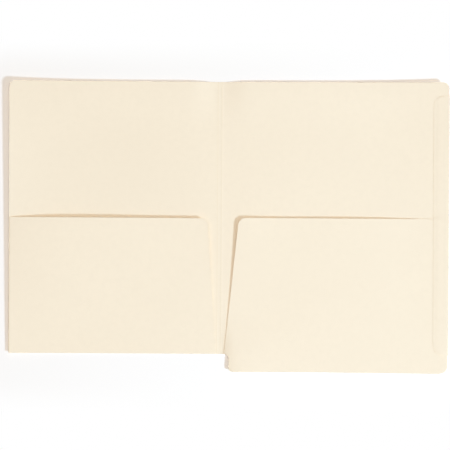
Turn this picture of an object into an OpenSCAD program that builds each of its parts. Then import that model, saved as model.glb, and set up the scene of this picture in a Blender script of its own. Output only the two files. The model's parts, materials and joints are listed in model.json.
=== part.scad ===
// Letter-size end-tab file folder with two inside pockets, lying open and flat.
// X runs across the open folder, Y runs along the spine, and Z is up.

/* [Sheet] */
// Thickness of the paper stock
stock_t = 0.3; // [0.2:0.05:0.5]
// Thickness of a line of glue, which is also the gap inside a fold
glue_t = 0.15; // [0.1:0.05:0.3]

/* [Back panel] */
// Width of the back panel, from its score to the outside of the flap's fold
back_w = 242; // [220:0.5:280]
// Length of the back panel along the spine, with its end tab
back_l = 310; // [280:1:360]
// How far the end tab reaches past the front panel
tab_drop = 19.5; // [15:0.5:30]
// Distance from the back score to the end tab's inner edge
tab_inset = 8.5; // [8:0.5:20]
// Radius of the shoulder where the end tab starts
shoulder_r = 4; // [2:0.5:4.5]
// Radius of the end tab's inner corner
tab_corner_r = 3.5; // [2:0.5:6]
// Radius of the end tab's outer corner
back_foot_corner_r = 8; // [3:0.5:12]
// Radius of the back panel's upper corner
back_top_corner_r = 7; // [3:0.5:12]

/* [Spine] */
// Distance between the two scores
spine_w = 4.3; // [3.5:0.1:12]

/* [Front panel] */
// Width of the front panel, from its score to its free edge
front_w = 222; // [200:0.5:225]
// Radius of the front panel's upper corner
front_top_corner_r = 6.5; // [3:0.5:12]

/* [Pockets] */
// Height of the pocket mouths above the foot of the front panel
pocket_h = 145; // [100:1:200]
// Radius of each pocket's free corner
pocket_corner_r = 8.5; // [4:0.5:15]
// Set-back of each pocket's outer edge from the edge of its panel
pocket_setback = 0.6; // [0.4:0.1:2]
// Distance from the front score to the front pocket's inner edge, at the mouth
front_mouth_gap = 11; // [6:0.5:25]
// Distance from the front score to the front pocket's inner edge, at the foot
front_foot_gap = 1; // [0.8:0.1:5]
// Distance from the back score to the back pocket's inner edge, at the mouth
back_mouth_gap = 18.5; // [10:0.5:30]
// Distance from the back score to the back pocket's inner edge, at the foot
back_foot_gap = 3.5; // [2:0.1:4]
// Height above a pocket's foot at which its bend line leaves the inner edge
bend_rise = 2; // [1:0.5:10]
// Angle by which each pocket's free part stands open at rest
mouth_angle = 2.75; // [1:0.25:5]

/* [Flap] */
// Width of the flap, from the outside of its fold to its inner edge
flap_w = 15.5; // [12:0.5:20]
// Distance from the back panel's upper edge to the flap's upper end
flap_top_gap = 13.5; // [8:0.5:30]
// How far each end of the flap slopes, from its fold to its inner edge
flap_slope = 2.5; // [1:0.5:5]
// Radius of the flap's two free corners
flap_corner_r = 9; // [3:0.5:10]
// Length over which the flap climbs onto the pocket
flap_ramp_l = 3; // [2:0.5:6]

/* [Glue] */
// Width of the glue along the front pocket's outer edge
front_glue_w = 6; // [4:0.5:15]
// Width of the glue under the flap
flap_glue_w = 9; // [4:0.5:10]
// Distance that each line of glue keeps from the ends of what it holds
glue_margin = 2; // [1:0.5:5]

/* [Clearances] */
// Room around a score or a bend line, so that the sheet beside it can turn
bend_clearance = 0.05; // [0.03:0.01:0.1]
// Distance between the pocket's mouth and the start of the flap's climb
flap_clearance = 0.5; // [0.3:0.1:2]
// Distance between the end of a bend line and the edges of the pocket
bend_end_gap = 1.5; // [1:0.5:5]

/* [Hidden] */
$fn = 96;

manila = [0.95, 0.89, 0.77];
manila_inside = [0.96, 0.91, 0.80];
manila_fold = [0.91, 0.84, 0.70];
glue_colour = [0.93, 0.90, 0.82];

// The origin is at the middle of the open folder, on the surface that it lies on.
open_w = front_w + spine_w + back_w;
x_left = -open_w / 2;
x_front_score = x_left + front_w;
x_back_score = x_front_score + spine_w;
x_right = open_w / 2;
y_top = back_l / 2;
y_foot = -back_l / 2;
y_front_foot = y_foot + tab_drop;
y_mouth = y_front_foot + pocket_h;
x_tab = x_back_score + tab_inset;

// One ply lies on the next with the thickness of the glue between them.
ply_step = stock_t + glue_t;
z_pocket = ply_step;
z_flap = 2 * ply_step;
z_mid_sheet = stock_t / 2;
z_mid_pocket = z_pocket + stock_t / 2;

// A fold goes round one gap, or round the edge of a ply and the gap on both sides of it.
fold_inner_r = glue_t / 2;
fold_outer_r = fold_inner_r + stock_t;
wrap_inner_r = fold_inner_r + ply_step / 2;
wrap_outer_r = wrap_inner_r + stock_t;

// The flat sheet ends at these creases, and the fold reaches the outside from there.
y_front_crease = y_front_foot + fold_outer_r;
y_back_crease = y_foot + fold_outer_r;
x_flap_crease = x_right - wrap_outer_r;

x_flap_edge = x_right - flap_w;
y_flap_top = y_top - flap_top_gap;
y_flap_foot = y_front_foot;
y_climb_low = y_mouth + flap_clearance;
y_climb_high = y_climb_low + flap_ramp_l;

x_front_pocket = x_left + pocket_setback;
x_back_pocket = x_flap_crease - pocket_setback;

// A score is a round bead as thick as the sheet, so a sheet that turns on it clears the strip
// beyond if its edge starts a little over half a diagonal of the sheet's thickness away.
score_r = stock_t / 2;
score_seat_r = stock_t * sqrt(2) / 2 + bend_clearance;
// The bead on a pocket's bend line is thinner than the sheet, so its sides stay inside the edge.
bend_r = 0.4 * stock_t;
bend_seat_r = stock_t / 2 + bend_clearance;

// The two ends of each pocket's slanted inner edge, before its free corner is rounded.
front_pocket_foot = [x_front_score - front_foot_gap, y_front_crease];
front_pocket_top = [x_front_score - front_mouth_gap, y_mouth];
back_pocket_foot = [x_back_score + back_foot_gap, y_front_foot];
back_pocket_top = [x_back_score + back_mouth_gap, y_mouth];

// The bend line of each pocket, with the free part of the pocket on its left.
function up_the_edge(foot, top, rise) = foot + (top - foot) * rise / (top[1] - foot[1]);
front_bend = [
    [x_front_pocket + front_glue_w, y_mouth],
    up_the_edge(front_pocket_foot, front_pocket_top, bend_rise)
];
back_bend = [
    up_the_edge(back_pocket_foot, back_pocket_top, bend_rise),
    [x_flap_edge, y_mouth]
];

back_panel_corners = [
    [x_back_score, y_top],
    [x_back_score, y_front_foot],
    [x_tab, y_front_foot],
    [x_tab, y_back_crease],
    [x_flap_crease, y_back_crease],
    [x_flap_crease, y_top]
];
back_panel_radii = [0, 0, shoulder_r, tab_corner_r, back_foot_corner_r, back_top_corner_r];

back_pocket_corners = [
    back_pocket_top,
    back_pocket_foot,
    [x_tab, y_front_foot],
    [x_tab, y_back_crease],
    [x_back_pocket, y_back_crease],
    [x_back_pocket, y_mouth]
];
back_pocket_radii = [pocket_corner_r, 0, shoulder_r, tab_corner_r, back_foot_corner_r, 0];

front_panel_corners = [
    [x_left, y_top],
    [x_left, y_front_crease],
    [x_front_score, y_front_crease],
    [x_front_score, y_top]
];
front_panel_radii = [front_top_corner_r, 0, 0, 0];

front_pocket_corners = [
    [x_front_pocket, y_mouth],
    [x_front_pocket, y_front_crease],
    front_pocket_foot,
    front_pocket_top
];
front_pocket_radii = [0, 0, 0, pocket_corner_r];

flap_corners = [
    [x_flap_edge, y_flap_top - flap_slope],
    [x_flap_edge, y_flap_foot + flap_slope],
    [x_flap_crease, y_flap_foot],
    [x_flap_crease, y_flap_top]
];
flap_radii = [flap_corner_r, flap_corner_r, 0, 0];

function unit(v) = v / norm(v);
function left_of(v) = [-v[1], v[0]];
function cross_z(a, b) = a[0] * b[1] - a[1] * b[0];
function before(points, i) = points[(i + len(points) - 1) % len(points)];
function after(points, i) = points[(i + 1) % len(points)];
function turns_left(points, i) =
    cross_z(points[i] - before(points, i), after(points, i) - points[i]) > 0;
function side_before(points, i) = unit(before(points, i) - points[i]);
function side_after(points, i) = unit(after(points, i) - points[i]);
function half_angle(points, i) = acos(side_before(points, i) * side_after(points, i)) / 2;
function mid_way(points, i) = unit(side_before(points, i) + side_after(points, i));
function arc_centre(points, i, radius) =
    points[i] + mid_way(points, i) * radius / sin(half_angle(points, i));
function arc_start(points, i, radius) =
    points[i] + side_before(points, i) * radius / tan(half_angle(points, i));
function arc_end(points, i, radius) =
    points[i] + side_after(points, i) * radius / tan(half_angle(points, i));

// What lies between an outer corner and the arc that rounds it, with a little over the corner.
module outside_of_arc(points, i, radius) {
    over = 0.5;
    centre = arc_centre(points, i, radius);
    start = arc_start(points, i, radius);
    end = arc_end(points, i, radius);
    difference() {
        polygon([
            centre,
            start + unit(start - centre) * over,
            points[i] - mid_way(points, i) * over / sin(half_angle(points, i)),
            end + unit(end - centre) * over
        ]);
        translate(centre) circle(radius);
    }
}

// An outline, named anticlockwise, with each corner rounded by its own radius.
// An inner corner is first filled straight across, and its arc is then cut from the filling.
module rounded_outline(points, radii) {
    corners = [0 : len(points) - 1];
    difference() {
        polygon([
            for (i = corners)
                each radii[i] > 0 && !turns_left(points, i)
                    ? [arc_start(points, i, radii[i]), arc_end(points, i, radii[i])]
                    : [points[i]]
        ]);
        for (i = corners)
            if (radii[i] > 0) {
                if (turns_left(points, i)) outside_of_arc(points, i, radii[i]);
                else translate(arc_centre(points, i, radii[i])) circle(radii[i]);
            }
    }
}

// The half plane on the left of a line, as far as the folder can reach.
module left_half(line) {
    along = unit(line[1] - line[0]) * open_w;
    across = left_of(along);
    polygon([line[0] - along, line[1] + along, line[1] + along + across, line[0] - along + across]);
}

// A straight round rod along a line in the plan, at height z.
module rod(line, z, radius) {
    run = line[1] - line[0];
    translate([line[0][0], line[0][1], z])
        rotate([0, 90, atan2(run[1], run[0])])
            cylinder(r = radius, h = norm(run));
}

// A line with its ends drawn in by a length, or let out by a negative one.
function shortened(line, by) =
    let (along = unit(line[1] - line[0]) * by) [line[0] + along, line[1] - along];

// Half a tube on the side of negative X, as the section of a fold.
module fold_section(inner_r, outer_r) {
    difference() {
        circle(outer_r);
        circle(inner_r);
        translate([0, -2 * outer_r]) square(4 * outer_r);
    }
}

module score_line(x, radius) {
    rod([[x, y_front_foot], [x, y_top]], z_mid_sheet, radius);
}

module score_seat(x) {
    rod([[x, y_foot], [x, y_top + stock_t]], z_mid_sheet, score_seat_r);
}

// The part of a pocket that stays down, on the right of the bend line.
module pocket_base(corners, radii, bend) {
    difference() {
        translate([0, 0, z_pocket])
            linear_extrude(stock_t)
                difference() {
                    rounded_outline(corners, radii);
                    left_half(bend);
                }
        rod(shortened(bend, -open_w / 10), z_mid_pocket, bend_seat_r);
    }
}

// The part of a pocket that lifts, turned open about the bend line.
module pocket_mouth(corners, radii, bend) {
    hinge = [bend[0][0], bend[0][1], z_mid_pocket];
    run = bend[1] - bend[0];
    translate(hinge)
        rotate(a = mouth_angle, v = [run[0], run[1], 0])
            translate(-hinge) {
                translate([0, 0, z_pocket])
                    linear_extrude(stock_t)
                        intersection() {
                            rounded_outline(corners, radii);
                            left_half(bend);
                        }
                rod(shortened(bend, bend_end_gap), z_mid_pocket, bend_r);
            }
}

module pocket_fold(x_from, x_to, y_crease) {
    translate([x_from, y_crease, stock_t + fold_inner_r])
        rotate([90, 0, 90])
            linear_extrude(x_to - x_from)
                fold_section(fold_inner_r, fold_outer_r);
}

module flap_fold(y_from, y_to, inner_r, outer_r) {
    translate([x_flap_crease, y_to, stock_t + inner_r])
        rotate([90, 0, 0])
            linear_extrude(y_to - y_from)
                mirror([1, 0])
                    fold_section(inner_r, outer_r);
}

module glue_line(x_from, y_from, y_to, width, z) {
    translate([x_from, y_from, z])
        cube([width, y_to - y_from, glue_t]);
}

module back_panel() {
    color(manila)
        difference() {
            linear_extrude(stock_t)
                rounded_outline(back_panel_corners, back_panel_radii);
            score_seat(x_back_score);
        }
}

module back_pocket_base() {
    color(manila_inside)
        pocket_base(back_pocket_corners, back_pocket_radii, back_bend);
}

module back_pocket_mouth() {
    color(manila_inside)
        pocket_mouth(back_pocket_corners, back_pocket_radii, back_bend);
}

module back_pocket_fold() {
    color(manila_fold)
        pocket_fold(x_tab + tab_corner_r, x_back_pocket - back_foot_corner_r, y_back_crease);
}

// The flap lies on the panel at its upper end, and climbs onto the pocket below the mouth.
module side_flap() {
    reach = open_w;
    color(manila)
        intersection() {
            linear_extrude(z_flap + 2 * stock_t)
                rounded_outline(flap_corners, flap_radii);
            rotate([90, 0, 90])
                linear_extrude(reach)
                    polygon([
                        [y_foot, z_flap],
                        [y_climb_low, z_flap],
                        [y_climb_high, z_pocket],
                        [y_top, z_pocket],
                        [y_top, z_pocket + stock_t],
                        [y_climb_high, z_pocket + stock_t],
                        [y_climb_low, z_flap + stock_t],
                        [y_foot, z_flap + stock_t]
                    ]);
        }
}

module side_flap_fold_upper() {
    color(manila_fold)
        flap_fold(y_climb_high, y_flap_top, fold_inner_r, fold_outer_r);
}

module side_flap_fold_lower() {
    color(manila_fold)
        flap_fold(y_flap_foot, y_climb_low, wrap_inner_r, wrap_outer_r);
}

module flap_glue_upper() {
    color(glue_colour)
        glue_line(
            x_flap_crease - glue_margin - flap_glue_w,
            y_climb_high + glue_margin,
            y_flap_top - flap_slope - flap_corner_r,
            flap_glue_w,
            stock_t
        );
}

module flap_glue_lower() {
    color(glue_colour)
        glue_line(
            x_flap_crease - glue_margin - flap_glue_w,
            y_flap_foot + flap_slope + flap_corner_r,
            y_mouth - glue_margin,
            flap_glue_w,
            z_pocket + stock_t
        );
}

module spine_strip() {
    color(manila_inside)
        translate([x_front_score + score_r, y_front_foot, 0])
            cube([spine_w - 2 * score_r, y_top - y_front_foot, stock_t]);
}

module back_score() {
    color(manila_fold) score_line(x_back_score, score_r);
}

module front_score() {
    color(manila_fold) score_line(x_front_score, score_r);
}

module front_panel() {
    color(manila)
        difference() {
            linear_extrude(stock_t)
                rounded_outline(front_panel_corners, front_panel_radii);
            score_seat(x_front_score);
        }
}

module front_pocket_base() {
    color(manila_inside)
        pocket_base(front_pocket_corners, front_pocket_radii, front_bend);
}

module front_pocket_mouth() {
    color(manila_inside)
        pocket_mouth(front_pocket_corners, front_pocket_radii, front_bend);
}

module front_pocket_fold() {
    color(manila_fold)
        pocket_fold(x_front_pocket, x_front_score - front_foot_gap, y_front_crease);
}

module front_pocket_glue() {
    color(glue_colour)
        glue_line(
            x_front_pocket,
            y_front_crease + glue_margin,
            y_mouth - glue_margin,
            front_glue_w,
            stock_t
        );
}

back_panel();
back_pocket_base();
back_pocket_mouth();
back_pocket_fold();
side_flap();
side_flap_fold_upper();
side_flap_fold_lower();
flap_glue_upper();
flap_glue_lower();
spine_strip();
back_score();
front_score();
front_panel();
front_pocket_base();
front_pocket_mouth();
front_pocket_fold();
front_pocket_glue();
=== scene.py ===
"""The looks of an open end-tab folder with two inside pockets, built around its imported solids.

Lengths are in metres, in the frame of the solids: X across the open folder, Y along its spine, Z up.
"""
import json
import math

import bpy
import numpy as np
from mathutils import Matrix, Vector
from mathutils.geometry import delaunay_2d_cdt


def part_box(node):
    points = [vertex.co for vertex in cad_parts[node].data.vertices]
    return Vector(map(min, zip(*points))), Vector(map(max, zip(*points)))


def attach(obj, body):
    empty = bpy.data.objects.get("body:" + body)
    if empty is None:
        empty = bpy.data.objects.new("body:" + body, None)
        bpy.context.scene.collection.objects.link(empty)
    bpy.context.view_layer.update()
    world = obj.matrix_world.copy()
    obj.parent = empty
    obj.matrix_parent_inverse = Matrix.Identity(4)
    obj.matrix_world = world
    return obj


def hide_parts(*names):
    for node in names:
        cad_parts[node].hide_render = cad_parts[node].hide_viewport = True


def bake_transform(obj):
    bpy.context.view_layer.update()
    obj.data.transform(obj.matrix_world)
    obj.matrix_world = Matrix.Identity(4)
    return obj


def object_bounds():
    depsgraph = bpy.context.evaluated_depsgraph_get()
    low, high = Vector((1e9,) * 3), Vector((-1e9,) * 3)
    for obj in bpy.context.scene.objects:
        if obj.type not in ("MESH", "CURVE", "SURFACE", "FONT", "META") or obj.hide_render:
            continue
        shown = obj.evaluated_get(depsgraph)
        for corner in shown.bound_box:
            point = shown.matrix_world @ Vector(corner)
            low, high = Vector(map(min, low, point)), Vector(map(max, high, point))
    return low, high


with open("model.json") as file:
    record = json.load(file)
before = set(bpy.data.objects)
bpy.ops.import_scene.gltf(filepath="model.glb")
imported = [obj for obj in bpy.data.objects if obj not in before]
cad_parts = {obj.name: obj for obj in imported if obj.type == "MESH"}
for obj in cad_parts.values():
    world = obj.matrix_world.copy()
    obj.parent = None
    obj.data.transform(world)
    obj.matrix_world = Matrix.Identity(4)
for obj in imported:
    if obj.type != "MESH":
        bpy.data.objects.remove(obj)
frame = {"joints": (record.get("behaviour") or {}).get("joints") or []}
cad_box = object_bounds()

MM = 0.001

# Corner radii and gaps of the outlines, the same as in the solids
TAB_CORNER_R = 3.5 * MM
SHOULDER_R = 4 * MM
BACK_FOOT_CORNER_R = 8 * MM
BACK_TOP_CORNER_R = 7 * MM
FRONT_TOP_CORNER_R = 6.5 * MM
POCKET_CORNER_R = 8.5 * MM
FRONT_MOUTH_GAP = 11 * MM
BACK_MOUTH_GAP = 18.5 * MM
BACK_FOOT_GAP = 3.5 * MM
FLAP_SLOPE = 2.5 * MM
FLAP_CORNER_R = 9 * MM

# Where the cut edges of this folder stray a little from the solids
BACK_TOP_RISE = 0.7 * MM
BACK_MOUTH_RISE = 0.6 * MM
TAB_FOOT_RISE = 0.85 * MM
FLAP_TOP_OVERLAP = 1.3 * MM
FLAP_FOOT_OVERLAP = 0.5 * MM

# How the folder lies: heights by which its parts stand off the table, and how far each lift reaches
FRONT_LIFT_TOP = 6.3 * MM
FRONT_LIFT_FOOT = 2.6 * MM
FRONT_LIFT_POWER = 4.5
BACK_LIFT_TOP = 6.1 * MM
BACK_LIFT_FOOT = 3.6 * MM
BACK_LIFT_POWER = 4.2
TOP_CURL = 2.3 * MM
TOP_CURL_REACH = 75 * MM
TOP_CURL_POWER = 2
TAB_CURL = 3.7 * MM
TAB_CURL_RISE = 36 * MM
TAB_CURL_WIDTH = 45 * MM
WAVE_HEIGHT = 0.22 * MM
WAVE_LENGTH_X = 150 * MM
WAVE_LENGTH_Y = 190 * MM
WAVE_PHASE_X = 0.7
WAVE_PHASE_Y = 1.1
RELEASE = 28 * MM

# The pressed ridge of each score, its half width, and the half width of the score itself
BACK_RIDGE = 0.12 * MM
FRONT_RIDGE = 0.05 * MM
RIDGE_HALF = 0.9 * MM
SCORE_HALF = 0.35 * MM

# How the pockets stand open: the share of the joint's gape that shows, and the bow of each sheet
GAPE_SHARE = 0.6
FRONT_GAPE_POWER = 1.0
BACK_GAPE_POWER = 1.6
BLEND_REACH = 1.76
FRONT_BOW = 3.7 * MM
FRONT_BOW_RISE = 58 * MM
FRONT_BOW_FULLNESS = 0.4
FRONT_BOW_FALL = (60 * MM, 220 * MM)
BACK_BOW = 1.55 * MM
BACK_BOW_RISE = 70 * MM
BACK_BOW_FULLNESS = 1.0
BACK_BOW_FALL = (80 * MM, 180 * MM)
BOW_POWER = 1.2

# How the flap lies: pressed along its inner edge, free at its foot, and climbing onto the pocket
FLAP_PRESS = 0.13 * MM
FLAP_EDGE = 0.2 * MM
FLAP_PRESS_REACH = 5 * MM
FLAP_FOOT_CURL = 0.85 * MM
FLAP_FOOT_CURL_REACH = 8 * MM
FLAP_FOOT_CURL_POWER = 1.5
CLIMB_AT_FOLD = 14 * MM

# Lines of glue: shares of the half width at the ends and in the wander of the sides
GLUE_PARTS = 60
GLUE_END = 0.2
GLUE_WANDER = 0.05
GLUE_LEFT_TURN = 23
GLUE_LEFT_PHASE = 1
GLUE_RIGHT_TURN = 31
GLUE_RIGHT_PHASE = 0

# Mesh spacing
GRID = 5 * MM
GRID_MARGIN = 0.3 * GRID
FINE_GRID = GRID / 3
FINE_MARGIN = 0.02 * GRID
FINE_STEP = 1 * MM
CLIMB_STEP = 0.5 * MM
ARC_STEP = math.radians(9)
FOLD_STEPS = 8
SCORE_PARTS = 3
NEAR_SCORE = [step * MM for step in (0.6, 0.9, 1.2, 1.6, 2.1, 2.8, 3.8)]
NEAR_FLAP_EDGE = [step * MM for step in (0.7, 1.5, 2.5, 3.7)]
SHARP_ANGLE = math.radians(40)
ROUNDING = 1e-6
WELD_MM = 1e-4
INSIDE_ONLY = 1

# Places that the solids give
strip_low, strip_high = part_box("spine_strip")
front_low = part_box("front_panel")[0]
back_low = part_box("back_panel")[0]
front_pocket_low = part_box("front_pocket_base")[0]
back_pocket_low, back_pocket_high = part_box("back_pocket_base")
back_fold_low, back_fold_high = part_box("back_pocket_fold")
flap_low, flap_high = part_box("side_flap")

stock = strip_high.z - strip_low.z
x_left = front_low.x
x_front_pocket = front_pocket_low.x
x_front_fold_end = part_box("front_pocket_fold")[1].x
x_front_score = sum(corner.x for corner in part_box("front_score")) / 2
x_back_score = sum(corner.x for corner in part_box("back_score")) / 2
x_tab = back_fold_low.x - TAB_CORNER_R
x_flap_edge = flap_low.x
x_back_pocket = back_pocket_high.x
x_flap_crease = flap_high.x
y_back_crease = back_low.y
y_front_crease = front_low.y
y_spine_foot = strip_low.y
y_flap_foot = flap_low.y
y_mouth = back_pocket_high.y
y_climb_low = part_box("side_flap_fold_lower")[1].y
y_climb_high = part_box("side_flap_fold_upper")[0].y
y_flap_top = flap_high.y
y_top = strip_high.y
z_pocket = back_pocket_low.z
z_flap = flap_high.z - stock
front_width = x_front_score - x_left
back_width = x_flap_crease - x_back_score
panel_length = y_top - y_spine_foot
joints = {joint["name"]: joint for joint in frame["joints"]}
z_hinge = joints["spine_fold"]["pos_m"][2]


def between(start, end, share):
    """The value that lies a share of the way from start to end."""
    return start + (end - start) * share


def eased(value, low, high):
    """0 below low, 1 above high, and a smooth step between them."""
    t = min(1.0, max(0.0, (value - low) / (high - low)))
    return t * t * (3 - 2 * t)


def bell(value, middle, half_width):
    """1 at the middle, and less to both sides of it."""
    return math.exp(-(((value - middle) / half_width) ** 2))


def ridge(x):
    """Height of the pressed ridges along the two scores."""
    back = BACK_RIDGE * bell(x, x_back_score, RIDGE_HALF)
    front = FRONT_RIDGE * bell(x, x_front_score, RIDGE_HALF)
    return back + front


def tab_curl(x, y):
    """Height by which the end tab stands up at its inner corner."""
    y_start = y_spine_foot + TAB_CURL_RISE
    down = max(0.0, y_start - y) / (y_start - y_back_crease)
    return TAB_CURL * bell(x, x_tab, TAB_CURL_WIDTH) * down * eased(x, x_back_score, x_tab + TAB_CORNER_R)


def wave(x, y):
    """A slow wave over the sheet, from 0 to 1."""
    across = math.sin(2 * math.pi * x / WAVE_LENGTH_X + WAVE_PHASE_X)
    along = math.sin(2 * math.pi * y / WAVE_LENGTH_Y + WAVE_PHASE_Y)
    return (1 + across * along) / 2


def lay(x, y):
    """Height of the underside of the sheet above the table."""
    up = (y - y_spine_foot) / panel_length
    out, raised, lift = 0.0, 0.0, 0.0
    if x < x_front_score:
        out = x_front_score - x
        raised = (out / front_width) ** FRONT_LIFT_POWER
        lift = between(FRONT_LIFT_FOOT, FRONT_LIFT_TOP, up) * raised
    elif x > x_back_score:
        out = x - x_back_score
        raised = (out / back_width) ** BACK_LIFT_POWER
        lift = between(BACK_LIFT_FOOT, BACK_LIFT_TOP, up) * raised + tab_curl(x, y)
    freed = eased(out, 0, RELEASE)
    lift += (1 - raised) * freed * TOP_CURL * eased(y, y_top - TOP_CURL_REACH, y_top) ** TOP_CURL_POWER
    return lift + freed * WAVE_HEIGHT * wave(x, y) + ridge(x)


class Bend:
    """The line on which a pocket's free part lifts, from the joint that turns it."""

    def __init__(self, joint, corner):
        self.start = Vector(joint["pos_m"])
        axis = Vector(joint["axis"]).normalized()
        self.across = Vector((-axis.y, axis.x, 0))
        self.angle = math.radians(-joint["range_deg"][0])
        self.reach = self.distance(*corner)

    def distance(self, x, y):
        """How far a place lies from the line, on its free side."""
        return (Vector((x, y, self.start.z)) - self.start).dot(self.across)

    def lift(self, x, y, power):
        """Height of the gape, which grows from the line to the free corner."""
        share = max(0.0, self.distance(x, y)) / self.reach
        return GAPE_SHARE * self.reach * math.sin(self.angle) * share**power

    def blend_span(self):
        """Where a pocket starts to follow its free part, and where it would follow that alone."""
        return self.start, self.start + self.across * self.reach * BLEND_REACH


front_corner = (x_front_score - FRONT_MOUTH_GAP, y_mouth)
back_corner = (x_back_score + BACK_MOUTH_GAP, y_mouth)
front_bend = Bend(joints["front_mouth_lift"], front_corner)
back_bend = Bend(joints["back_mouth_lift"], back_corner)


def bow(inward, up, rise, fullness, fall):
    """Share of a pocket's bow, between its held edge and its free corner, that grows towards its mouth."""
    across = eased(inward, 0, rise) ** fullness * (1 - eased(inward, *fall))
    return across * max(0.0, up) ** BOW_POWER


def front_pocket_height(x, y):
    """Height of the underside of the front pocket."""
    up = (y - y_front_crease) / (y_mouth - y_front_crease)
    raised = FRONT_BOW * bow(x - x_front_pocket, up, FRONT_BOW_RISE, FRONT_BOW_FULLNESS, FRONT_BOW_FALL)
    return lay(x, y) + z_pocket + front_bend.lift(x, y, FRONT_GAPE_POWER) + raised


def back_pocket_height(x, y):
    """Height of the underside of the back pocket."""
    up = (y - y_back_crease) / (y_mouth - y_back_crease)
    raised = BACK_BOW * bow(x_flap_edge - x, up, BACK_BOW_RISE, BACK_BOW_FULLNESS, BACK_BOW_FALL)
    return lay(x, y) + z_pocket + back_bend.lift(x, y, BACK_GAPE_POWER) + raised


def flap_rest(x, y):
    """Height of the flap's underside over the panel's, as it climbs onto the pocket."""
    share = (x - x_flap_edge) / (x_flap_crease - x_flap_edge)
    middle = (y_climb_low + y_climb_high) / 2
    half = between(y_climb_high - y_climb_low, CLIMB_AT_FOLD, share) / 2
    return between(z_flap, z_pocket, eased(y, middle - half, middle + half))


def pressed(x):
    """1 at the flap's inner edge, which is pressed down beside its glue, and 0 away from it."""
    return 1 - eased(x, x_flap_edge, x_flap_edge + FLAP_PRESS_REACH)


def flap_foot_curl(x, y):
    """Height by which the flap's foot, free of glue, stands up away from its fold."""
    down = max(0.0, 1 - (y - y_flap_foot) / FLAP_FOOT_CURL_REACH)
    return FLAP_FOOT_CURL * down**FLAP_FOOT_CURL_POWER * eased(x_flap_crease - x, 0, FLAP_FOOT_CURL_REACH)


def flap_height(x, y):
    """Height of the underside of the flap."""
    return lay(x, y) + flap_rest(x, y) - FLAP_PRESS * pressed(x) + flap_foot_curl(x, y)


def flap_thickness(x, y):
    return between(stock, FLAP_EDGE, pressed(x))


def stock_thickness(x, y):
    return stock


def front_foot(x):
    return y_front_crease


def back_foot(x):
    """Where the back panel's foot is, which rises to the inner end of its tab."""
    return y_back_crease + TAB_FOOT_RISE * (x_flap_crease - x) / (x_flap_crease - x_tab)


def box_ring(low_x, high_x, low_y, high_y):
    """A plain rectangle as an outline, named anticlockwise."""
    return [Vector(p) for p in ((high_x, high_y), (low_x, high_y), (low_x, low_y), (high_x, low_y))]


def rounded(corners, radii):
    """An outline, named anticlockwise, with each corner rounded by its own radius."""
    points = []
    for i, radius in enumerate(radii):
        here = Vector(corners[i])
        if radius == 0:
            points.append(here)
            continue
        back = (Vector(corners[i - 1]) - here).normalized()
        ahead = (Vector(corners[(i + 1) % len(corners)]) - here).normalized()
        half = back.angle(ahead) / 2
        centre = here + (back + ahead).normalized() * radius / math.sin(half)
        spoke = here + back * radius / math.tan(half) - centre
        turn = math.copysign(math.pi - 2 * half, ahead.cross(back))
        steps = max(2, math.ceil(abs(turn) / ARC_STEP))
        points += [centre + Matrix.Rotation(turn * k / steps, 2) @ spoke for k in range(steps + 1)]
    return points


def glue_ring(low, high):
    """The outline of a spread line of glue, with soft ends and slightly uneven sides."""
    half = (high.x - low.x) / 2
    middle = (high.x + low.x) / 2
    left, right = [], []
    for k in range(GLUE_PARTS + 1):
        share = k / GLUE_PARTS
        y = between(low.y, high.y, share)
        end = min(share, 1 - share) * (high.y - low.y)
        width = half * math.sqrt(min(1.0, (end + GLUE_END * half) / half))
        left_share = 1 - GLUE_WANDER + GLUE_WANDER * math.sin(GLUE_LEFT_TURN * share + GLUE_LEFT_PHASE)
        right_share = 1 - GLUE_WANDER + GLUE_WANDER * math.sin(GLUE_RIGHT_TURN * share + GLUE_RIGHT_PHASE)
        left.append(Vector((middle - width * left_share, y)))
        right.append(Vector((middle + width * right_share, y)))
    return right + left[::-1]


def spaced(ring, step):
    """The same ring with its long sides cut into equal parts."""
    points = []
    for here, there in zip(ring, ring[1:] + ring[:1]):
        parts = max(1, math.ceil((there - here).length / step - ROUNDING))
        points += [here.lerp(there, k / parts) for k in range(parts)]
    return points


def steps_between(low, high, step):
    """The places between two ends, without them, at about the given step."""
    parts = max(1, round((high - low) / step))
    return [low + (high - low) * k / parts for k in range(1, parts)]


def inner_points(ring, columns, rows, margin):
    """The crossings of columns and rows that lie inside the ring and clear of it."""
    grid = np.array([(x, y) for x in columns for y in rows]).reshape(-1, 2)
    inside = np.zeros(len(grid), bool)
    nearest = np.full(len(grid), np.inf)
    for here, there in zip(ring, ring[1:] + ring[:1]):
        a, b = np.array(here), np.array(there)
        side = b - a
        share = np.clip((grid - a) @ side / (side @ side), 0, 1)
        nearest = np.minimum(nearest, np.linalg.norm(grid - a - share[:, None] * side, axis=1))
        if a[1] != b[1]:
            crossed = (a[1] > grid[:, 1]) != (b[1] > grid[:, 1])
            at_x = a[0] + (grid[:, 1] - a[1]) * side[0] / side[1]
            inside ^= crossed & (grid[:, 0] < at_x)
    return [Vector(point) for point in grid[inside & (nearest > margin)]]


def mesh_points(ring, columns, rows):
    """An even grid inside a ring, with the columns and rows that are added where a sheet bends."""
    x_low, y_low = (min(point[k] for point in ring) for k in range(2))
    x_high, y_high = (max(point[k] for point in ring) for k in range(2))
    even_rows = steps_between(y_low, y_high, GRID)
    points = inner_points(ring, steps_between(x_low, x_high, GRID), even_rows, GRID_MARGIN)
    points += inner_points(ring, columns, even_rows, FINE_MARGIN)
    points += inner_points(ring, steps_between(x_low, x_high, FINE_GRID), rows, FINE_MARGIN)
    return points


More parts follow.
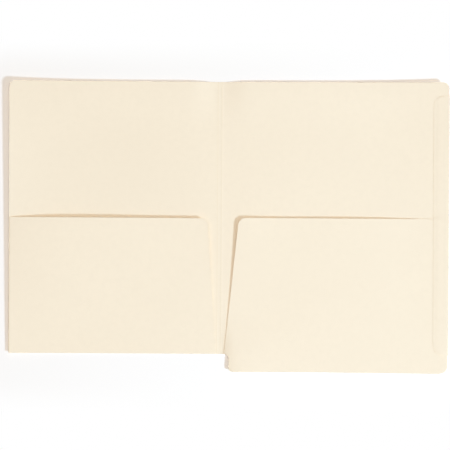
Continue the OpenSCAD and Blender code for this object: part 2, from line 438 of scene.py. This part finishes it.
def triangulated(ring, points):
    """The places of a flat mesh over a ring and the points in it, and its anticlockwise triangles."""
    flat = [point / MM for point in ring + points]
    border = [list(range(len(ring)))]
    places, _, triangles, _, _, _ = delaunay_2d_cdt(flat, [], border, INSIDE_ONLY, WELD_MM)

    def anticlockwise(tri):
        a, b, c = (places[k] for k in tri)
        return tri if (b - a).cross(c - a) > 0 else tri[::-1]

    return [place * MM for place in places], [anticlockwise(tri) for tri in triangles]


def finished(name, vertices, faces, slots, materials):
    """An object made of the given faces, smooth within each side and sharp at its edges."""
    mesh = bpy.data.meshes.new(name)
    mesh.from_pydata(vertices, [], faces)
    for material in materials:
        mesh.materials.append(material)
    mesh.polygons.foreach_set("material_index", slots)
    mesh.polygons.foreach_set("use_smooth", [True] * len(faces))
    mesh.set_sharp_from_angle(angle=SHARP_ANGLE)
    mesh.update()
    piece = bpy.data.objects.new(name, mesh)
    bpy.context.scene.collection.objects.link(piece)
    return piece


def sheet(name, ring, height, materials, thickness=stock_thickness, columns=(), rows=()):
    """A closed sheet over a ring, whose underside is at height(x, y), with a rim of its own material."""
    ring = spaced(ring, GRID)
    places, triangles = triangulated(ring, mesh_points(ring, columns, rows))
    count = len(places)
    low = [Vector((p.x, p.y, height(p.x, p.y))) for p in places]
    high = [p + Vector((0, 0, thickness(p.x, p.y))) for p in low]
    directed = {(tri[k], tri[(k + 1) % 3]) for tri in triangles for k in range(3)}
    rim = sorted(edge for edge in directed if edge[::-1] not in directed)
    faces = [[k + count for k in tri] for tri in triangles]
    faces += [tri[::-1] for tri in triangles]
    faces += [[a, b, b + count, a + count] for a, b in rim]
    slots = [0] * (2 * len(triangles)) + [1] * len(rim)
    return finished(name, low + high, faces, slots, materials)


def fold(name, stations, material):
    """Half a tube through stations, each with its centre, its outward direction and its inner radius."""
    vertices, faces = [], []
    ring = 2 * (FOLD_STEPS + 1)
    angles = [math.pi * (k / FOLD_STEPS - 0.5) for k in range(FOLD_STEPS + 1)]
    up = Vector((0, 0, 1))
    for centre, outward, inner in stations:
        for radius, order in ((inner + stock, angles), (inner, angles[::-1])):
            vertices += [centre + (outward * math.cos(a) + up * math.sin(a)) * radius for a in order]
    for s in range(len(stations) - 1):
        for k in range(ring):
            after = (k + 1) % ring
            faces.append([s * ring + k, s * ring + after, (s + 1) * ring + after, (s + 1) * ring + k])
    last = (len(stations) - 1) * ring
    for k in range(FOLD_STEPS):
        quad = [k, k + 1, ring - 2 - k, ring - 1 - k]
        faces.append(quad[::-1])
        faces.append([last + index for index in quad])
    return finished(name, vertices, faces, [0] * len(faces), [material])


def foot_fold(name, x_from, x_to, foot, material):
    """The fold between a panel and the pocket that is turned up from its foot."""
    inner = (z_pocket - stock) / 2
    stations = []
    for x in [x_from, *steps_between(x_from, x_to, GRID), x_to]:
        y = foot(x)
        centre = Vector((x, y, lay(x, y) + stock + inner))
        stations.append((centre, Vector((0, -1, 0)), inner))
    return fold(name, stations, material)


def side_fold(name, material):
    """The fold of the flap, which is wider where it goes round the pocket's edge."""
    near = steps_between(y_climb_low - CLIMB_AT_FOLD, y_climb_high + CLIMB_AT_FOLD, FINE_STEP)
    below = steps_between(y_flap_foot, near[0], GRID)
    above = steps_between(near[-1], y_flap_top, GRID)
    stations = []
    for y in [y_flap_top, *above[::-1], *near[::-1], *below[::-1], y_flap_foot]:
        inner = (flap_rest(x_flap_crease, y) - stock) / 2
        centre = Vector((x_flap_crease, y, lay(x_flap_crease, y) + stock + inner))
        stations.append((centre, Vector((1, 0, 0)), inner))
    return fold(name, stations, material)


class Nodes:
    """Short words for building the node tree of a material or of the world."""

    def __init__(self, owner):
        owner.use_nodes = True
        self.tree = owner.node_tree

    def __getitem__(self, name):
        """A node of the tree by its name."""
        return self.tree.nodes[name]

    def feed(self, target, value):
        """Links a socket to the target, or sets the target to a constant."""
        if isinstance(value, bpy.types.NodeSocket):
            self.tree.links.new(value, target)
        else:
            target.default_value = value

    def add(self, kind, inputs=None, **settings):
        """The outputs of a new node with the given settings and inputs."""
        node = self.tree.nodes.new("ShaderNode" + kind)
        for name, value in settings.items():
            setattr(node, name, value)
        for name, value in (inputs or {}).items():
            self.feed(node.inputs[name], value)
        return node.outputs

    def noise(self, place, scale, detail=2, stretch=(1, 1, 1), turn=0.0):
        """Noise at a place, finer along one axis where it is stretched, and turned about the vertical."""
        mapping = self.add("Mapping", {"Vector": place, "Scale": stretch, "Rotation": (0, 0, turn)})
        return self.add("TexNoise", {"Vector": mapping["Vector"], "Scale": scale, "Detail": detail})["Fac"]

    def spread(self, value, span, onto, **settings):
        """A value whose span is stretched onto another one."""
        inputs = {
            "Value": value,
            "From Min": span[0],
            "From Max": span[1],
            "To Min": onto[0],
            "To Max": onto[1],
        }
        return self.add("MapRange", inputs, **settings)["Result"]

    def toned(self, colour, factor, tint):
        """The colour drawn towards a tint by a factor."""
        return self.add("Mix", {"Factor": factor, "A": colour, "B": tint}, data_type="RGBA")["Result"]

    def bump(self, height, strength, distance, below=None):
        """The direction of the surface with a height added to the bumps below it."""
        inputs = {"Height": height, "Strength": strength, "Distance": distance}
        if below is not None:
            inputs["Normal"] = below
        return self.add("Bump", inputs)["Normal"]

    def maths(self, operation, first, second):
        return self.add("Math", {0: first, 1: second}, operation=operation)["Value"]

    def vector(self, operation, *values):
        """The outputs of one step of arithmetic on vectors."""
        return self.add("VectorMath", dict(enumerate(values)), operation=operation)


def scaled(colour, share):
    return tuple(channel * share for channel in colour)


def opaque(colour):
    return (*colour, 1)


# Layers of the paper: the scale of each noise and the span of it that shows
CLOUD_SCALE = 9
CLOUD_SPAN = (0.35, 0.65)
FORMATION_SCALE = 170
FORMATION_DETAIL = 3
FORMATION_SPAN = (0.4, 0.7)
LONG_FIBRE_SCALE = 700
LONG_FIBRE_STRETCH = (1, 7, 1)
LONG_FIBRE_TURN = 0.35
LONG_FIBRE_SPAN = (0.62, 0.8)
CROSS_FIBRE_SCALE = 620
CROSS_FIBRE_STRETCH = (6, 1, 1)
CROSS_FIBRE_TURN = 0.5
CROSS_FIBRE_SPAN = (0.64, 0.8)
TOOTH_SCALE = 2600

# What the layers do to the colour, the sheen and the surface
CLOUD_SHARE = 0.5
FORMATION_SHARE = 0.6
FORMATION_SHADE = 0.975
LONG_FIBRE_SHADE = 0.82
CROSS_FIBRE_COLOUR = (0.96, 0.93, 0.86)
ROUGHNESS_SPAN = (0.3, 0.7)
ROUGHNESS_SWING = 0.06
SPECULAR = 0.3
FORMATION_STRENGTH = 0.5
FORMATION_DEPTH = 0.03 * MM
FIBRE_DEPTH = 0.015 * MM
TOOTH_DEPTH = 0.01 * MM


def paper(name, colour, roughness, fleck, tooth):
    """Uncoated stock: cloudy formation, fine fibres across each other and a fine tooth."""
    material = bpy.data.materials.new(name)
    nodes = Nodes(material)
    shader = nodes["Principled BSDF"]
    place = nodes.add("TexCoord")["Object"]
    cloud = nodes.noise(place, CLOUD_SCALE)
    formation = nodes.noise(place, FORMATION_SCALE, detail=FORMATION_DETAIL)
    long_fibre = nodes.noise(place, LONG_FIBRE_SCALE, stretch=LONG_FIBRE_STRETCH, turn=LONG_FIBRE_TURN)
    cross_fibre = nodes.noise(place, CROSS_FIBRE_SCALE, stretch=CROSS_FIBRE_STRETCH, turn=CROSS_FIBRE_TURN)
    fine = nodes.noise(place, TOOTH_SCALE)

    tone = opaque(colour)
    for layer, span, share, tint in (
        (cloud, CLOUD_SPAN, CLOUD_SHARE, scaled(colour, FORMATION_SHADE)),
        (formation, FORMATION_SPAN, FORMATION_SHARE, scaled(colour, FORMATION_SHADE)),
        (long_fibre, LONG_FIBRE_SPAN, fleck, scaled(colour, LONG_FIBRE_SHADE)),
        (cross_fibre, CROSS_FIBRE_SPAN, fleck, CROSS_FIBRE_COLOUR),
    ):
        tone = nodes.toned(tone, nodes.spread(layer, span, (0, share)), opaque(tint))
    nodes.feed(shader.inputs["Base Color"], tone)

    swing = (roughness - ROUGHNESS_SWING, roughness + ROUGHNESS_SWING)
    nodes.feed(shader.inputs["Roughness"], nodes.spread(formation, ROUGHNESS_SPAN, swing))
    shader.inputs["Specular IOR Level"].default_value = SPECULAR

    surface = nodes.bump(formation, FORMATION_STRENGTH * tooth, FORMATION_DEPTH)
    surface = nodes.bump(long_fibre, tooth, FIBRE_DEPTH, surface)
    surface = nodes.bump(fine, tooth, TOOTH_DEPTH, surface)
    nodes.feed(shader.inputs["Normal"], surface)
    return material


STOCK_COLOUR = (0.938, 0.846, 0.686)
EDGE_COLOUR = (0.955, 0.880, 0.735)
CREASE_COLOUR = (0.920, 0.822, 0.648)
GLUE_COLOUR = (0.80, 0.74, 0.60)

stock_paper = paper("manila_stock", STOCK_COLOUR, roughness=0.80, fleck=0.30, tooth=0.6)
edge_paper = paper("manila_cut_edge", EDGE_COLOUR, roughness=0.90, fleck=0.60, tooth=1.0)
crease_paper = paper("manila_crease", CREASE_COLOUR, roughness=0.66, fleck=0.22, tooth=0.4)
dried_glue = paper("dried_glue", GLUE_COLOUR, roughness=0.45, fleck=0.10, tooth=0.8)
sheet_papers = [stock_paper, edge_paper]
crease_papers = [crease_paper, edge_paper]
glue_papers = [dried_glue, dried_glue]


def placed(piece, slot, replaced, *bodies, across=None):
    """Hides the solids that a piece replaces and hangs the piece on the body that carries it; a piece that
    spans two bodies is fixed where it stands instead. The slot is not used.
    """
    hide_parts(*replaced)
    if across:
        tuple(across[0])
        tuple(across[1])
        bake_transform(piece)
    else:
        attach(piece, *bodies)


# Spine strip
strip_columns = [x_front_score + step for step in NEAR_SCORE] + [x_back_score - step for step in NEAR_SCORE]
placed(
    sheet(
        "spine_sheet",
        box_ring(x_front_score + SCORE_HALF, x_back_score - SCORE_HALF, y_spine_foot, y_top),
        lay,
        sheet_papers,
        columns=sorted(strip_columns),
    ),
    "stock",
    ["spine_strip"],
    "spine",
)

# Scores
for name, x, first, second in (
    ("back_score", x_back_score, "back", "spine"),
    ("front_score", x_front_score, "spine", "front"),
):
    placed(
        sheet(
            name + "_ridge",
            box_ring(x - SCORE_HALF, x + SCORE_HALF, y_spine_foot, y_top),
            lay,
            crease_papers,
            columns=[x + SCORE_HALF * k / SCORE_PARTS for k in range(1 - SCORE_PARTS, SCORE_PARTS)],
        ),
        "crease",
        [name],
        first,
        second,
        across=((x + SCORE_HALF, 0, z_hinge), (x - SCORE_HALF, 0, z_hinge)),
    )

# Back panel
back_ring = rounded(
    [
        (x_back_score + SCORE_HALF, y_top),
        (x_back_score + SCORE_HALF, y_spine_foot),
        (x_tab, y_spine_foot),
        (x_tab, back_foot(x_tab)),
        (x_flap_crease, back_foot(x_flap_crease)),
        (x_flap_crease, y_top + BACK_TOP_RISE),
    ],
    [0, 0, SHOULDER_R, TAB_CORNER_R, BACK_FOOT_CORNER_R, BACK_TOP_CORNER_R],
)
placed(
    sheet(
        "back_sheet",
        back_ring,
        lay,
        sheet_papers,
        columns=[x_back_score + step for step in NEAR_SCORE],
    ),
    "stock",
    ["back_panel"],
    "back",
)

# Back pocket with the fold at its foot
back_pocket_ring = rounded(
    [
        (back_corner[0], y_mouth + BACK_MOUTH_RISE),
        (x_back_score + BACK_FOOT_GAP, y_spine_foot),
        (x_tab, y_spine_foot),
        (x_tab, back_foot(x_tab)),
        (x_back_pocket, back_foot(x_back_pocket)),
        (x_back_pocket, y_mouth + BACK_MOUTH_RISE),
    ],
    [POCKET_CORNER_R, 0, SHOULDER_R, TAB_CORNER_R, BACK_FOOT_CORNER_R, 0],
)
placed(
    sheet("back_pocket_sheet", back_pocket_ring, back_pocket_height, sheet_papers),
    "stock",
    ["back_pocket_base", "back_pocket_mouth"],
    "back",
    "back_mouth",
    across=back_bend.blend_span(),
)
placed(
    foot_fold("back_foot_fold", back_fold_low.x, back_fold_high.x, back_foot, crease_paper),
    "crease",
    ["back_pocket_fold"],
    "back",
)

# Side flap with its fold
flap_ring = rounded(
    [
        (x_flap_edge - FLAP_TOP_OVERLAP, y_flap_top - FLAP_SLOPE),
        (x_flap_edge - FLAP_FOOT_OVERLAP, y_flap_foot + FLAP_SLOPE),
        (x_flap_crease, y_flap_foot),
        (x_flap_crease, y_flap_top),
    ],
    [FLAP_CORNER_R, FLAP_CORNER_R, 0, 0],
)
climb_rows = steps_between(y_climb_low - CLIMB_AT_FOLD / 2, y_climb_high + CLIMB_AT_FOLD / 2, CLIMB_STEP)
curl_rows = steps_between(y_flap_foot, y_flap_foot + FLAP_FOOT_CURL_REACH, FINE_STEP)
placed(
    sheet(
        "flap_sheet",
        flap_ring,
        flap_height,
        sheet_papers,
        thickness=flap_thickness,
        columns=[x_flap_edge + step for step in NEAR_FLAP_EDGE],
        rows=climb_rows + curl_rows,
    ),
    "stock",
    ["side_flap"],
    "back",
)
placed(
    side_fold("flap_fold", crease_paper),
    "crease",
    ["side_flap_fold_upper", "side_flap_fold_lower"],
    "back",
)


def glue_line(node):
    """A spread line of glue, as thick as the strip that it stands for."""
    low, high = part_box(node)

    def height(x, y):
        return lay(x, y) + low.z

    def thickness(x, y):
        return high.z - low.z

    return sheet(node + "_line", glue_ring(low, high), height, glue_papers, thickness=thickness)


# Lines of glue
for node, body in (
    ("flap_glue_upper", "back"),
    ("flap_glue_lower", "back"),
    ("front_pocket_glue", "front"),
):
    placed(glue_line(node), "glue", [node], body)

# Front panel
front_ring = rounded(
    [
        (x_left, y_top),
        (x_left, y_front_crease),
        (x_front_score - SCORE_HALF, y_front_crease),
        (x_front_score - SCORE_HALF, y_top),
    ],
    [FRONT_TOP_CORNER_R, 0, 0, 0],
)
placed(
    sheet(
        "front_sheet",
        front_ring,
        lay,
        sheet_papers,
        columns=[x_front_score - step for step in NEAR_SCORE],
    ),
    "stock",
    ["front_panel"],
    "front",
)

# Front pocket with the fold at its foot
front_pocket_ring = rounded(
    [
        (x_front_pocket, y_mouth),
        (x_front_pocket, y_front_crease),
        (x_front_fold_end, y_front_crease),
        front_corner,
    ],
    [0, 0, 0, POCKET_CORNER_R],
)
placed(
    sheet("front_pocket_sheet", front_pocket_ring, front_pocket_height, sheet_papers),
    "stock",
    ["front_pocket_base", "front_pocket_mouth"],
    "front",
    "front_mouth",
    across=front_bend.blend_span(),
)
placed(
    foot_fold("front_foot_fold", x_front_pocket, x_front_fold_end, front_foot, crease_paper),
    "crease",
    ["front_pocket_fold"],
    "front",
)

# Floor, which fades to white this far from the folder
FLOOR_SIZE = 8.0
FLOOR_COLOUR = (0.99, 0.99, 0.99)
FADE_SPAN = (8 * MM, 45 * MM)

# Light: the shares of it that come from all round and from the key lamp, with the rest from above
AMBIENT = (0.20, 0.18, 0.16)
KEY_SHARE = (0.25, 0.33, 0.41)
KEY_ELEVATION = math.radians(34)
KEY_FROM = (0.875, -0.485)
KEY_DISTANCE = 3.4
KEY_ANGLES = (math.radians(8), math.radians(8))
TOP_DISTANCE = 4.0
TOP_ANGLES = (math.radians(70), math.radians(24))
BOUNCES = 24

# Camera, straight above
CAMERA_HEIGHT = 1.2
CAMERA_FIELD = 481 * MM
CAMERA_CENTRE = (-4.1 * MM, 2.35 * MM)
CAMERA_ROLL = math.radians(0.38)
SENSOR_WIDTH = 36

WHITE = (1, 1, 1, 1)


def seen(nodes):
    """1 for the rays that show a background: to the camera, from a mirror or through glass."""
    path = nodes.add("LightPath")
    result = path["Is Camera Ray"]
    for kind in ("Is Glossy Ray", "Is Transmission Ray"):
        result = nodes.maths("MAXIMUM", result, path[kind])
    return result


def shown_white(nodes, share, lit, white, output):
    """Mixes white into what is lit, by the given share, and shows the mix."""
    mix = nodes.add("MixShader", {"Fac": share, 1: lit, 2: white})
    nodes.feed(nodes[output].inputs["Surface"], mix["Shader"])


def distance_from_folder(nodes):
    """How far a place on the floor lies outside the folder's box."""
    low, high = (Vector(corner) for corner in cad_box)
    place = nodes.add("TexCoord")["Object"]
    offset = nodes.vector("SUBTRACT", place, (low + high) / 2)["Vector"]
    either_side = nodes.vector("ABSOLUTE", offset)["Vector"]
    beyond = nodes.vector("SUBTRACT", either_side, (high - low) / 2)["Vector"]
    outside = nodes.vector("MAXIMUM", beyond, (0, 0, 0))["Vector"]
    return nodes.vector("LENGTH", outside)["Value"]


def floor_paint():
    """White paint that keeps the folder's shadow and shows plain white away from it."""
    material = bpy.data.materials.new("floor_paint")
    nodes = Nodes(material)
    shader = nodes["Principled BSDF"]
    shader.inputs["Base Color"].default_value = opaque(FLOOR_COLOUR)
    shader.inputs["Roughness"].default_value = 1.0
    shader.inputs["Specular IOR Level"].default_value = 0.0
    fade = nodes.spread(distance_from_folder(nodes), FADE_SPAN, (0, 1), interpolation_type="SMOOTHSTEP")
    share = nodes.maths("MULTIPLY", fade, seen(nodes))
    glow = nodes.add("Emission", {"Color": WHITE, "Strength": 1.0})
    shown_white(nodes, share, shader.outputs["BSDF"], glow["Emission"], "Material Output")
    return material


def studio_lamp(name, share, angles, distance, toward):
    """An oval lamp that gives the table the stated share of its light from one direction."""
    lamp = bpy.data.lights.new(name, "AREA")
    lamp.shape = "ELLIPSE"
    lamp.size, lamp.size_y = (2 * distance * math.tan(angle / 2) for angle in angles)
    lamp.color = scaled(share, 1 / max(share))
    spread = math.hypot(distance, lamp.size / 2) * math.hypot(distance, lamp.size_y / 2)
    lamp.energy = max(share) * math.pi**2 * spread / toward.z
    holder = bpy.data.objects.new(name, lamp)
    holder.location = toward * distance
    holder.rotation_mode = "QUATERNION"
    holder.rotation_quaternion = toward.to_track_quat("Z", "Y")
    holder.visible_camera = False
    bpy.context.scene.collection.objects.link(holder)


# Floor
edge = FLOOR_SIZE / 2
floor_mesh = bpy.data.meshes.new("floor")
floor_corners = [(-edge, -edge, 0), (edge, -edge, 0), (edge, edge, 0), (-edge, edge, 0)]
floor_mesh.from_pydata(floor_corners, [], [[0, 1, 2, 3]])
floor_mesh.materials.append(floor_paint())
floor = bpy.data.objects.new("floor", floor_mesh)
bpy.context.scene.collection.objects.link(floor)

# Lamps
level = math.cos(KEY_ELEVATION)
key_toward = Vector((KEY_FROM[0] * level, KEY_FROM[1] * level, math.sin(KEY_ELEVATION))).normalized()
top_share = tuple(1 - key - around for key, around in zip(KEY_SHARE, AMBIENT))
studio_lamp("key", KEY_SHARE, KEY_ANGLES, KEY_DISTANCE, key_toward)
studio_lamp("top", top_share, TOP_ANGLES, TOP_DISTANCE, Vector((0, 0, 1)))

# World: the light from all round, and white behind the folder
world = bpy.data.worlds.new("studio")
bpy.context.scene.world = world
world_nodes = Nodes(world)
ambient = world_nodes["Background"]
ambient.inputs["Color"].default_value = opaque(scaled(AMBIENT, 1 / max(AMBIENT)))
ambient.inputs["Strength"].default_value = max(AMBIENT)
backdrop = world_nodes.add("Background", {"Color": WHITE, "Strength": 1.0})
shown_white(
    world_nodes,
    seen(world_nodes),
    ambient.outputs["Background"],
    backdrop["Background"],
    "World Output",
)

# Light passes many times between the pale sheets of a pocket
bpy.context.scene.cycles.max_bounces = BOUNCES
bpy.context.scene.cycles.diffuse_bounces = BOUNCES

# Camera
lens = bpy.data.cameras.new("camera")
lens.sensor_width = SENSOR_WIDTH
lens.lens = lens.sensor_width * CAMERA_HEIGHT / CAMERA_FIELD
camera = bpy.data.objects.new("camera", lens)
camera.location = (*CAMERA_CENTRE, CAMERA_HEIGHT)
camera.rotation_euler = (0, 0, CAMERA_ROLL)
bpy.context.scene.collection.objects.link(camera)
bpy.context.scene.camera = camera
bpy.context.scene.view_settings.view_transform = "Standard"
